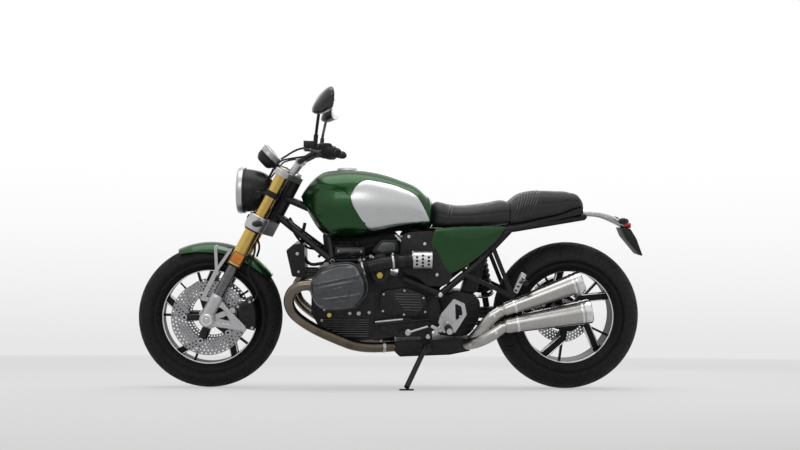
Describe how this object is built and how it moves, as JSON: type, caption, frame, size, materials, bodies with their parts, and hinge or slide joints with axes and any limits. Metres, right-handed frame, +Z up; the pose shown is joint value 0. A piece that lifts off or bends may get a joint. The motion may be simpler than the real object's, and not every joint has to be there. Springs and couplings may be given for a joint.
{
  "type": "standard motorcycle",
  "caption": "Standard road motorcycle with a flat twin engine, round headlamp, high handlebar and stacked silencers, leaning on its side stand.",
  "frame": {"origin": "on the floor under the middle of the leaning motorcycle's bounding box", "axes": "+X forward, +Y to the rider's left, +Z up from the floor"},
  "size_m": [2.1289, 0.9126, 1.3025],
  "materials": {
    "tyre": "matte rubber with a fine road tread",
    "wheel_black": "satin black with machined edges",
    "disc_steel": "ground steel",
    "gold_tube": "gold anodised",
    "bright_metal": "satin silver",
    "black_metal": "satin black",
    "chrome": "bright",
    "rubber": "matte",
    "black_plastic": "fine grain black",
    "lamp_glass": "clear",
    "red_lens": "red lens",
    "smoked_lens": "smoked lens with a black shell",
    "green_paint": "dark green metallic gloss",
    "seat_cover": "charcoal leatherette with stitched seams",
    "engine_metal": "cast, dark silver",
    "cover_metal": "dark grey metallic",
    "exhaust_steel": "brushed",
    "header_steel": "heat tinted"
  },
  "bodies": {
    "chassis": {"airbox": "black_plastic", "collector": "black_metal", "cylinders": "engine_metal", "engine_case": "engine_metal", "exhaust_headers": "header_steel", "filler_cap": "bright_metal", "footrest_left": "bright_metal", "footrest_right": "bright_metal", "fuel_tank": "green_paint", "head_covers": "cover_metal", "intake_sleeves": "bright_metal", "intakes": "black_metal", "main_frame": "black_metal", "oil_cooler": "black_metal", "pillion_rests": "black_metal", "pillion_seat": "seat_cover", "rear_caliper": "black_metal", "rear_frame": "black_metal", "rear_indicators": "smoked_lens", "rear_shock": "black_metal", "rider_seat": "seat_cover", "side_covers": "green_paint", "silencers": "exhaust_steel", "stand_bracket": "black_metal", "swingarm": "black_metal", "tail_carrier": "bright_metal", "tail_lamp": "red_lens", "torque_arm": "black_metal"},
    "steering": {"fork_tubes": "gold_tube", "fork_stanchions": "black_metal", "fork_feet": "black_metal", "front_axle": "chrome", "front_calipers": "black_metal", "yokes": "bright_metal", "handlebar": "black_metal", "risers": "bright_metal", "grips": "rubber", "controls": "black_plastic", "mirrors": "black_plastic", "headlamp_bowl": "black_metal", "headlamp_ring": "chrome", "headlamp_glass": "lamp_glass", "instrument": "black_plastic", "front_fender": "green_paint", "fender_stays": "bright_metal", "front_indicators": "smoked_lens", "brake_hoses": "rubber"},
    "front_wheel": {"front_tyre": "tyre", "front_rim": "wheel_black", "front_discs": "disc_steel"},
    "rear_wheel": {"rear_tyre": "tyre", "rear_rim": "wheel_black", "rear_disc": "disc_steel"},
    "stand": {"side_stand": "black_metal"}
  },
  "joints": [
    {"name": "steering_turn", "type": "hinge", "parent": "chassis", "child": "steering", "pos_m": [0.46697, -0.06407, 0.77959], "axis": [-0.454, 0.1394, 0.88], "range_deg": [-30, 30]},
    {"name": "front_wheel_spin", "type": "hinge", "parent": "steering", "child": "front_wheel", "pos_m": [0.7645, -0.14043, 0.29748], "axis": [0, 0.9877, -0.1564], "continuous": true},
    {"name": "rear_wheel_spin", "type": "hinge", "parent": "chassis", "child": "rear_wheel", "pos_m": [-0.7465, -0.13808, 0.31229], "axis": [0, 0.9877, -0.1564], "continuous": true},
    {"name": "stand_fold", "type": "hinge", "parent": "chassis", "child": "stand", "pos_m": [-0.1465, -0.01779, 0.17681], "axis": [0.2312, 0.7408, 0.6307], "range_deg": [0, 98]}
  ]
}
